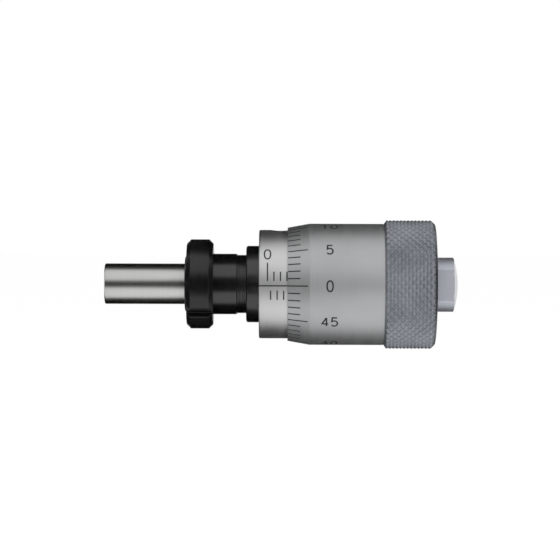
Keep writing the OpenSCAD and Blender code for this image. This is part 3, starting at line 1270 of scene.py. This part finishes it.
    def _hole_wall(self, outer: float, bore: float, panel: Floats) -> Floats:
        """Wall of the spanner hole: rings from its rounded lip down to the bore.

        Args:
            outer: Radius of the outer skin.
            bore: Radius of the inner skin.
            panel: Angles of the panel's columns.

        Returns:
            Grid of points, whose columns meet those of the skins.
        """
        hole, lip = self.hole_d / 2, self.hole_edge
        unit = np.linspace(-1.0, 1.0, self.panel_columns + 1)
        side_x, side_a = self._border(unit, (panel - TOP) / (panel[-1] - TOP))
        t = np.arctan2(side_a, side_x)
        rings = [
            (outer, hole + lip),
            (outer - lip * self.lip_share, hole + lip * self.lip_share),
            (outer - lip, hole),
            (outer - lip * 2, hole),
            (bore, hole),
        ]
        return np.stack([self._ring(radius, reach, t) for radius, reach in rings])

    def _scale(self) -> bpy.types.Object:
        """The index line, the millimetre and half-millimetre marks and their numbers.

        Returns:
            The new object.
        """
        shell = Shell("sleeve_scale")
        outer = self.span.radius
        front = self.span.front
        lines = Engraving(lambda x: outer - np.clip(front + self.edge - x, 0.0, self.edge), outer)
        zero = front + self.zero_offset
        stations = np.array([front, front + self.edge, zero + self.travel + self.zero_offset])
        index = stacked(stations, 0.0)
        lines.bars(shell, index[:-1], index[1:], self.line_w)
        count = np.arange(self.travel + 1)
        reach = self.mark_gap + np.where(count % self.long_every == 0, self.long_mark_l, self.mark_l)
        lines.bars(shell, stacked(zero + count, self.mark_gap), stacked(zero + count, reach), self.line_w)
        halves = zero + 0.5 + np.arange(self.travel)
        below = -self.mark_gap - self.mark_l
        lines.bars(shell, stacked(halves, -self.mark_gap), stacked(halves, below), self.line_w)
        for number in range(0, self.travel + 1, self.long_every):
            numeral = Numeral(str(number), self.number_h, self.number_stroke)
            lines.number(shell, numeral, zero + number, self.number_arc)
        return shell.make()


@dataclass
class Thimble(SubAssembly):
    """The thimble: bevel with the circular scale, smooth wall, knurled band and end wall."""

    body: str = "thimble"
    bore_r: float = 8.65
    wall_r: float = 9.5
    wall_columns: int = 256
    edge_wall: float = 0.22
    bevel_l: float = 3.4
    bevel_round: float = 0.25
    head_wall: float = 4.0
    taper_r: float = 3.315
    taper_end_r: float = 3.115
    # Under the knurl's ring the wall is set back, and behind it the rim stands clear of the ring.
    core_gap: float = 0.02
    rim_gap: float = 0.03
    rim_foot_round: float = 0.01
    rim_round: float = 0.12
    knurl_l: float = 8.1
    knurl_depth: float = 0.3
    knurl_starts: int = 50
    knurl_pitch: float = 1.13
    knurl_chamfer: float = 0.33
    knurl_flat: float = 0.88
    knurl_relief_l: float = 0.08
    knurl_relief_depth: float = 0.06
    knurl_slope: float = 1.45
    knurl_round: float = 0.04
    # The ring begins just behind the band's front, and is closed inside the wall and under the rim.
    knurl_lead: float = 0.04
    knurl_bury: float = 0.1
    knurl_foot_l: float = 0.02
    knurl_tuck_l: float = 0.08
    knurl_tuck_depth: float = 0.25
    # Cells in each pitch of a groove, both ways.
    knurl_cells: int = 12
    knurl_crease_deg: float = 24.0
    # Faces whose normal leans this far to the rear take the rear chamfer's painted shade.
    chamfer_leans: tuple[float, float] = (0.6, 0.9)
    divisions: int = 50
    line_w: float = 0.2
    tick_start: float = 0.06
    tick_l: float = 1.95
    long_tick_l: float = 3.1
    long_every: int = 5
    tick_points: int = 5
    number_offset: float = 6.5
    number_h: float = 1.61
    number_stroke: float = 0.25
    span: Span = field(default_factory=lambda: Span.of("thimble"))

    def build(self) -> list[bpy.types.Object]:
        """Makes the thimble, its knurl and its scale, with painted shade on the knurl and on the rear
        chamfer.

        Returns:
            The dressed pieces.
        """
        wall = self.dress(self._turned(), Finish.SATIN_THIMBLE, "satin_chrome", "thimble")
        # The knurl's darker chrome paints the shade between its diamonds.
        knurl = self.dress(self._knurl(), Finish.KNURL_CHROME, "satin_chrome")
        # The rear chamfer's faces take a darker chrome, painted shade for the dark reflection there.
        for piece in (wall, knurl):
            self.refinish(piece, Finish.CHAMFER_CHROME, self.chamfer_leans, self.chamfer_station)
        return [wall, knurl, self.dress(self._scale(), Finish.LINE_FILL, "satin_chrome")]

    @property
    def knurl_station(self) -> float:
        """Station where the knurled band begins."""
        return self.span.rear - self.knurl_l

    @property
    def valley_r(self) -> float:
        """Radius of the knurl's grooves."""
        return self.span.radius - self.knurl_depth

    @property
    def rim_r(self) -> float:
        """Radius of the end face at the foot of the rear chamfer."""
        return self.valley_r - self.knurl_chamfer

    @property
    def chamfer_station(self) -> float:
        """Station where the rear chamfer begins at the crests."""
        return self.span.rear - (self.span.radius - self.rim_r)

    @property
    def rim_station(self) -> float:
        """Station where the rear chamfer reaches the bottom of the grooves."""
        return self.span.rear - (self.valley_r - self.rim_r)

    def _turned(self) -> bpy.types.Object:
        """The thimble's wall, bevel and end wall, turned about the axis.

        Returns:
            The new object.
        """
        front, rear = self.span.front, self.span.rear
        knurl = self.knurl_station
        core = self.wall_r - self.knurl_relief_depth - self.core_gap
        rim = self.rim_station + self.rim_gap
        corners = [
            (front, self.bore_r, Edge.FINE),
            (front, self.bore_r + self.edge_wall, Edge.BROKEN),
            (front + self.bevel_l, self.wall_r, self.bevel_round),
            (knurl, self.wall_r, self.knurl_round),
            (knurl + self.core_gap, core, Edge.HIDDEN),
            (rim, core, Edge.HIDDEN),
            (rim, self.valley_r - self.rim_gap, self.rim_foot_round),
            (rear, self.rim_r, self.rim_round),
            (rear, self.taper_end_r, Edge.BROKEN),
            (rear - self.head_wall, self.taper_r, Edge.HIDDEN),
            (rear - self.head_wall, self.bore_r, Edge.EASED),
        ]
        return Shell("thimble_wall").grid(lathe(rounded(corners), around(self.wall_columns))).make()

    def _height(self, x: Floats, angle: Floats) -> Floats:
        """Radius of the knurl at stations and angles.

        Two families of grooves wind round the band in opposite hands. Each gives a triangle wave of
        (starts a / turn +- x / pitch), 1 midway between its grooves and 0 in them. The lower of the two
        waves, cut flat near its top, is the height, and the front step and the rear chamfer bound it.

        Args:
            x: Stations.
            angle: Angles.

        Returns:
            Radii.
        """
        start = self.knurl_station
        around_phase = self.knurl_starts * angle / TURN
        along_phase = (x - start) / self.knurl_pitch
        phases = around_phase + along_phase, around_phase - along_phase
        waves = [1 - 2 * np.abs(phase - np.round(phase)) for phase in phases]
        height = np.minimum(np.minimum(*waves), self.knurl_flat) / self.knurl_flat
        radius = self.valley_r + self.knurl_depth * height
        step = self.wall_r - self.knurl_relief_depth + (x - start - self.knurl_relief_l) * self.knurl_slope
        chamfer = self.rim_r + (self.span.rear - x)
        return np.minimum(np.minimum(radius, step), chamfer)

    def _knurl(self) -> bpy.types.Object:
        """The ring of diamonds, a closed height field.

        Each cell is cut along the diagonal that lies nearer to the true height at its middle, so the
        grooves and the ridges stay straight.

        Returns:
            The new object.
        """
        start, stop = self.knurl_station + self.knurl_lead, self.rim_station
        angle = around(self.knurl_starts * self.knurl_cells)
        x = np.append(np.arange(start, stop, self.knurl_pitch / self.knurl_cells), stop)
        grid_x, grid_a = np.meshgrid(x, angle, indexing="ij")
        radius = self._height(grid_x, grid_a)
        mid_x = (grid_x[:-1, :-1] + grid_x[1:, 1:]) / 2
        mid_a = (grid_a[:-1, :-1] + grid_a[1:, 1:]) / 2
        middle = self._height(mid_x, mid_a)
        falling = np.abs((radius[:-1, :-1] + radius[1:, 1:]) / 2 - middle)
        rising = np.abs((radius[:-1, 1:] + radius[1:, :-1]) / 2 - middle)
        index = np.arange(radius.size).reshape(radius.shape)
        a, b, c, d = index[:-1, :-1], index[:-1, 1:], index[1:, 1:], index[1:, :-1]
        falls = (falling <= rising)[..., None]
        one = np.where(falls, stacked(a, b, c), stacked(a, b, d))
        two = np.where(falls, stacked(a, c, d), stacked(b, c, d))
        triangles = np.concatenate([one, two]).reshape(-1, 3)
        shell = Shell("thimble_knurl").faces(polar(grid_x, radius, grid_a).reshape(-1, 3), triangles)
        core = self.wall_r - self.knurl_relief_depth - self.knurl_bury
        tuck = x[-1] + self.knurl_tuck_l
        rings = [
            polar(x[-1], radius[-1], angle),
            polar(tuck, self.valley_r - self.knurl_tuck_depth, angle),
            polar(tuck, core, angle),
            polar(x[0] - self.knurl_foot_l, core, angle),
            polar(x[0], radius[0], angle),
        ]
        return shell.grid(np.stack(rings)).make(self.knurl_crease_deg)

    def _bevel_r(self, x: Floats) -> Floats:
        """Radius of the bevel and of the wall behind it at stations.

        Args:
            x: Stations.

        Returns:
            Radii, which rise evenly along the bevel.
        """
        share = np.clip((x - self.span.front) / self.bevel_l, 0.0, 1.0)
        edge = self.bore_r + self.edge_wall
        return edge + (self.wall_r - edge) * share

    def _scale(self) -> bpy.types.Object:
        """The division lines of the bevel and the numbers of every fifth one.

        Returns:
            The new object.
        """
        shell = Shell("thimble_scale")
        lines = Engraving(self._bevel_r, self.wall_r)
        count = np.arange(self.divisions)
        arc = TURN * self.wall_r * count / self.divisions
        length = np.where(count % self.long_every == 0, self.long_tick_l, self.tick_l)
        start = stacked(self.span.front + self.tick_start, arc)
        stop = stacked(self.span.front + length, arc)
        lines.bars(shell, start, stop, self.line_w, self.tick_points)
        place = self.span.front + self.number_offset
        for number in range(0, self.divisions, self.long_every):
            numeral = Numeral(str(number), self.number_h, self.number_stroke)
            lines.number(shell, numeral, place, arc[number])
        return shell.make()


@dataclass
class ThimbleCap(SubAssembly):
    """The cap with two wrench flats and a screw that holds the thimble."""

    body: str = "thimble"
    screw_d: float = 4.0
    screw_l: float = 6.0
    screw_round: float = 0.2
    seat_round: float = 0.06
    side_l: float = 2.95
    chamfer: float = 0.06
    flat_bevel_l: float = 0.18
    flat_bevel_fall: float = 2.4
    flat_bevel_power: int = 6
    # Rows stand close from this many bevel lengths before the dome's edge to just before it.
    bevel_run: float = 1.2
    bevel_stop: float = 0.02
    bevel_rows: int = 12
    dome_rows: int = 60
    flat_columns: int = 41
    round_columns: int = 61
    least_cosine: float = 0.1
    crease_deg: float = 18.0
    dome_leans: tuple[float, float] = (0.35, 1.01)
    span: Span = field(default_factory=lambda: Span.of("thimble_cap"))

    def build(self) -> list[bpy.types.Object]:
        """Makes the cap.

        Returns:
            The dressed pieces.
        """
        profile = self._profile()
        surface = lathe(profile, *self._outline(profile))
        cap = Shell("thimble_cap_body").grid(surface).make(self.crease_deg)
        self.dress(cap, Finish.CAP_CHROME, "cap_chrome", "thimble_cap")
        self.refinish(cap, Finish.POLISHED_DOME, self.dome_leans, self.span.front)
        return [cap]

    def _profile(self) -> Floats:
        """Profile of the screw, the cap's side and its dome.

        The dome is an arc of a circle through the rim and the apex, rows of
        (apex - R + sqrt(R^2 - r^2), r), where R = (rim^2 + h^2) / 2h. Rows stand close together where
        the bevels behind the flats begin.

        Returns:
            Rows of (station, radius).
        """
        front, radius = self.span.front, self.span.radius
        seat = front + self.screw_l
        r = np.linspace(self.rim_r, 0.0, self.dome_rows)[1:]
        dome = stacked(self._dome(r), r, Edge.SHARP)
        run = np.linspace(self.bevel_run * self.flat_bevel_l, self.bevel_stop, self.bevel_rows)
        side_x = self.rim_x - self.chamfer - run
        side = stacked(side_x, radius, Edge.SHARP)
        corners = [
            (front, 0.0, Edge.SHARP),
            (front, self.screw_d / 2, self.screw_round),
            (seat, self.screw_d / 2, Edge.HIDDEN),
            (seat, radius, self.seat_round),
            *map(tuple, side.tolist()),
            (self.rim_x - self.chamfer, radius, Edge.HIDDEN),
            (self.rim_x, self.rim_r, Edge.HIDDEN),
            *map(tuple, dome.tolist()),
        ]
        return rounded(corners, steps=4)[:-1]

    @property
    def rim_x(self) -> float:
        """Station where the dome begins."""
        return self.span.front + self.screw_l + self.side_l

    @property
    def rim_r(self) -> float:
        """Radius where the dome begins."""
        return self.span.radius - self.chamfer

    def _dome(self, r: Floats) -> Floats:
        """Stations of the dome at radii.

        Args:
            r: Radii.

        Returns:
            Stations.
        """
        height = self.span.rear - self.rim_x
        dome_r = (self.rim_r**2 + height**2) / (2 * height)
        return self.span.rear - dome_r + np.sqrt(dome_r**2 - r**2)

    def _outline(self, profile: Floats) -> tuple[Floats, Floats]:
        """Outline of the cap's round with its two flats and the bevel behind each.

        The round's radius is cut back to the flat's distance over cos a. From a bevel's length before
        the edge of the dome on, that distance falls evenly, and the bevel narrows to nothing at the
        flat's two ends. Columns stand on the four edges where the round and the flats meet.

        Args:
            profile: Rows of (station, radius) of the cap.

        Returns:
            The angle of each column, and the largest radius at each row and column.
        """
        edge = np.arccos(self.span.half_width / self.span.radius)
        flat = np.linspace(-edge, edge, self.flat_columns)
        half = np.concatenate([flat, np.linspace(edge, np.pi - edge, self.round_columns)[1:-1]])
        angles = np.concatenate([half, half + np.pi, half[:1] + TURN])
        cosine = np.maximum(np.abs(np.cos(angles)), self.least_cosine)
        narrowing = (np.arccos(cosine) / edge) ** self.flat_bevel_power
        bevel_l = self.flat_bevel_l * np.maximum(1 - narrowing, 0.0)
        bevel_x = self._dome(np.minimum(self.span.half_width / cosine, self.rim_r)) - bevel_l
        fall = self.flat_bevel_fall * np.maximum(profile[:, :1] - bevel_x, 0.0)
        return angles, np.minimum(self.span.radius, (self.span.half_width - fall) / cosine)


@dataclass
class AdjustingNut(SubAssembly):
    """The hidden taper nut on the stem's split end, kept as its solid."""

    body: str = "stem"

    def build(self) -> list[bpy.types.Object]:
        """Gives the solid its finish.

        Returns:
            The solid.
        """
        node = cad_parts["adjusting_nut"]
        node.data.materials.clear()
        node.data.materials.append(Finish.TURNED_STEEL.material())
        return [node]


@dataclass(frozen=True)
class Card:
    """Dark cards round one length of the axis, by their angles from the front, which is -Y."""

    name: str
    front: float
    rear: float
    strip_deg: float
    back_deg: float
    open_deg: float
    lean_deg: float


@dataclass(frozen=True)
class EndCard:
    """A round dark card square to the axis, with a hole, cut straight on its far side."""

    name: str
    station: float
    hole_r: float
    radius: float
    cut: float


@dataclass
class Studio:
    """White surround with dark cards, a pale floor, one soft lamp and the camera."""

    floor_z: float = -55.0
    floor_half: float = 3000.0
    floor_tone: float = 0.95
    floor_glow: float = 0.8
    cards: tuple[Card, ...] = (
        Card("spindle_cards", -60.0, -6.5, strip_deg=18.5, back_deg=85.0, open_deg=162.0, lean_deg=1.5),
        Card("stem_cards", -6.5, 5.7, strip_deg=27.5, back_deg=75.0, open_deg=162.0, lean_deg=1.5),
        Card("thimble_cards", 5.7, 33.5, strip_deg=6.0, back_deg=91.0, open_deg=165.0, lean_deg=3.0),
        Card("cap_cards", 33.5, 62.0, strip_deg=6.0, back_deg=102.0, open_deg=168.0, lean_deg=0.0),
    )
    end_cards: tuple[EndCard, ...] = (
        EndCard("front_card", station=-22.5, hole_r=3.9, radius=16.0, cut=3.5),
        EndCard("end_card", station=52.0, hole_r=0.0, radius=26.0, cut=2.0),
    )
    card_r: float = 46.0
    card_soft_deg: float = 8.0
    card_columns: int = 96
    end_card_columns: int = 48
    lamp_size: float = 500.0
    lamp_power: float = 2.2
    lamp_place: tuple[float, float, float] = (0.0, -250.0, 600.0)
    camera_distance: float = 400.0
    camera_rise_deg: float = 1.7
    camera_roll_deg: float = 0.19
    frame_width: float = 87.9
    frame_centre: tuple[float, float, float] = (8.775, 0.0, 0.65)
    sensor: float = 36.0
    clip_near: float = 10.0
    clip_far: float = 100000.0

    def build(self) -> None:
        """Sets the stage, the light and the camera."""
        bpy.context.scene.view_settings.view_transform = "Standard"
        self._world()
        self._floor()
        for card in self.cards:
            self._card(card)
        for end_card in self.end_cards:
            self._end_card(end_card)
        self._lamp()
        self._camera()

    def _seen(self, graph: Graph) -> bpy.types.NodeSocket:
        """1 for rays that show the surround: from the camera, off gloss and through glass.

        Args:
            graph: Graph that takes the nodes.

        Returns:
            The output.
        """
        path = graph.add("ShaderNodeLightPath").outputs
        shown = graph.math("MAXIMUM", path["Is Camera Ray"], path["Is Glossy Ray"])
        return graph.math("MAXIMUM", shown, path["Is Transmission Ray"])

    def _stage_graph(self, piece: bpy.types.Object, name: str) -> Graph:
        """Gives a stage piece a material that isn't sampled as a lamp.

        Args:
            piece: The stage piece.
            name: Name of the material.

        Returns:
            The material's empty graph.
        """
        material = bpy.data.materials.new(name)
        material.use_nodes = True
        material.cycles.emission_sampling = "NONE"
        piece.data.materials.append(material)
        return Graph(material.node_tree)

    def _world(self) -> None:
        """An even white surround."""
        world = bpy.data.worlds.new("white_surround")
        world.use_nodes = True
        graph = Graph(world.node_tree)
        light = graph.add("ShaderNodeBackground", {"Color": (1, 1, 1, 1), "Strength": 1.0})
        graph.add("ShaderNodeOutputWorld", {"Surface": light.outputs[0]})
        world.cycles.sampling_method = "NONE"
        bpy.context.scene.world = world

    def _floor(self) -> None:
        """A pale floor that keeps a soft shadow."""
        side = np.array([-1.0, 1.0]) * self.floor_half
        x, y = np.meshgrid(side, side, indexing="ij")
        floor = Shell("floor").grid(stacked(x, y, self.floor_z)).make()
        graph = self._stage_graph(floor, "pale_floor")
        tone = self.floor_tone
        matt = graph.add("ShaderNodeBsdfDiffuse", {"Color": (tone, tone, tone, 1)})
        glow = graph.add("ShaderNodeEmission", {"Color": (1, 1, 1, 1), "Strength": 1.0})
        share = graph.math("MULTIPLY", self._seen(graph), self.floor_glow)
        mixed = graph.add("ShaderNodeMixShader", {0: share, 1: matt.outputs[0], 2: glow.outputs[0]})
        graph.add("ShaderNodeOutputMaterial", {"Surface": mixed.outputs[0]})
        floor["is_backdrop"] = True

    def _past(self, graph: Graph, angle: bpy.types.NodeSocket, border_deg: float) -> bpy.types.NodeSocket:
        """0 at angles under a border and 1 over it, with a soft step."""
        low, high = np.radians([border_deg - self.card_soft_deg, border_deg + self.card_soft_deg])
        return graph.remap(angle, (low, high), 0.0, 1.0)

    def _card(self, card: Card) -> None:
        """Sets dark cards that only gloss shows: a strip in front and one on either side of the back.

        They are one tube round the axis, dark where the angle from the front is under the strip's or
        lies between the back's and the opening's, and clear elsewhere, with soft borders. The back's
        angles are counted from a line that leans up.

        Args:
            card: The length of the axis and the angles.
        """
        x = np.array([card.front, card.rear])[:, None]
        tube = Shell(card.name).grid(polar(x, self.card_r, around(self.card_columns)[None])).make()
        graph = self._stage_graph(tube, card.name)
        place = graph.add("ShaderNodeTexCoord").outputs["Object"]
        axes = graph.add("ShaderNodeSeparateXYZ", {0: place}).outputs
        front = graph.math("MULTIPLY", axes["Y"], -1.0)
        angle = graph.math("ARCTAN2", axes["Z"], front)
        past_strip = self._past(graph, graph.math("ABSOLUTE", angle), card.strip_deg)
        leaning = graph.math("ABSOLUTE", graph.math("SUBTRACT", angle, np.radians(card.lean_deg)))
        past_back = self._past(graph, leaning, card.back_deg)
        past_open = self._past(graph, leaning, card.open_deg)
        clear = graph.math("ADD", graph.math("SUBTRACT", past_strip, past_back), past_open)
        dark = graph.add("ShaderNodeEmission", {"Color": (0, 0, 0, 1), "Strength": 0.0})
        open_ = graph.add("ShaderNodeBsdfTransparent")
        mixed = graph.add("ShaderNodeMixShader", {0: clear, 1: dark.outputs[0], 2: open_.outputs[0]})
        graph.add("ShaderNodeOutputMaterial", {"Surface": mixed.outputs[0]})
        self._gloss_only(tube)

    def _gloss_only(self, card: bpy.types.Object) -> None:
        """Stages a card that neither the camera nor the matt surfaces see.

        Args:
            card: The card.
        """
        card.visible_camera = False
        card.visible_diffuse = False
        card.visible_transmission = False
        card.visible_shadow = False
        card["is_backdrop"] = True

    def _end_card(self, card: EndCard) -> None:
        """Sets a dark card square to the axis that only gloss shows.

        Args:
            card: The card's place and size.
        """
        radius = np.array([card.hole_r, card.radius])[:, None]
        points = polar(card.station, radius, around(self.end_card_columns)[None])
        disc = Shell(card.name).grid(np.minimum(points, [np.inf, card.cut, np.inf])).make()
        graph = self._stage_graph(disc, card.name)
        dark = graph.add("ShaderNodeBsdfDiffuse", {"Color": (0.0, 0.0, 0.0, 1)})
        graph.add("ShaderNodeOutputMaterial", {"Surface": dark.outputs[0]})
        self._gloss_only(disc)

    def _lamp(self) -> None:
        """One large soft lamp above, for the floor's shadow and the matt surfaces."""
        light = bpy.data.lights.new("soft_lamp", "AREA")
        light.shape = "DISK"
        light.size = self.lamp_size * MM
        light.energy = self.lamp_power
        lamp = bpy.data.objects.new("soft_lamp", light)
        lamp.location = Vector(self.lamp_place) * MM
        lamp.rotation_euler = lamp.location.to_track_quat("Z", "Y").to_euler()
        lamp.visible_glossy = False
        bpy.context.scene.collection.objects.link(lamp)

    def _camera(self) -> None:
        """A long lens in front, a little above the axis."""
        data = bpy.data.cameras.new("camera")
        data.sensor_width = self.sensor
        data.lens = self.sensor * self.camera_distance / self.frame_width
        data.clip_start = self.clip_near * MM
        data.clip_end = self.clip_far * MM
        rise = np.radians(self.camera_rise_deg)
        aim = Vector(self.frame_centre) * MM
        away = Vector((0.0, -np.cos(rise), np.sin(rise))) * self.camera_distance * MM
        roll = Matrix.Rotation(np.radians(self.camera_roll_deg), 3, "Z")
        turn = away.to_track_quat("Z", "Y").to_matrix() @ roll
        camera = bpy.data.objects.new("camera", data)
        camera.matrix_world = Matrix.Translation(aim + away) @ turn.to_4x4()
        bpy.context.scene.collection.objects.link(camera)
        bpy.context.scene.camera = camera


def plain(box: tuple) -> list[list[float]]:
    """A box as plain lists of numbers."""
    return [[float(v) for v in corner] for corner in box]


def main() -> None:
    """Builds the studio and the sub-assemblies in order."""
    logging.basicConfig(level=logging.INFO, format="%(name)s: %(message)s")
    cad_box = plain(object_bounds())
    Studio().build()
    for assembly in (Stem(), ClampNut(), Sleeve(), AdjustingNut(), Spindle(), Thimble(), ThimbleCap()):
        for piece in assembly.build():
            LOG.info("%s rides %s, %d faces", piece.name, assembly.body, len(piece.data.polygons))
    {"cad": cad_box, "visual": plain(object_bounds())}


if __name__ == "__main__":
    main()
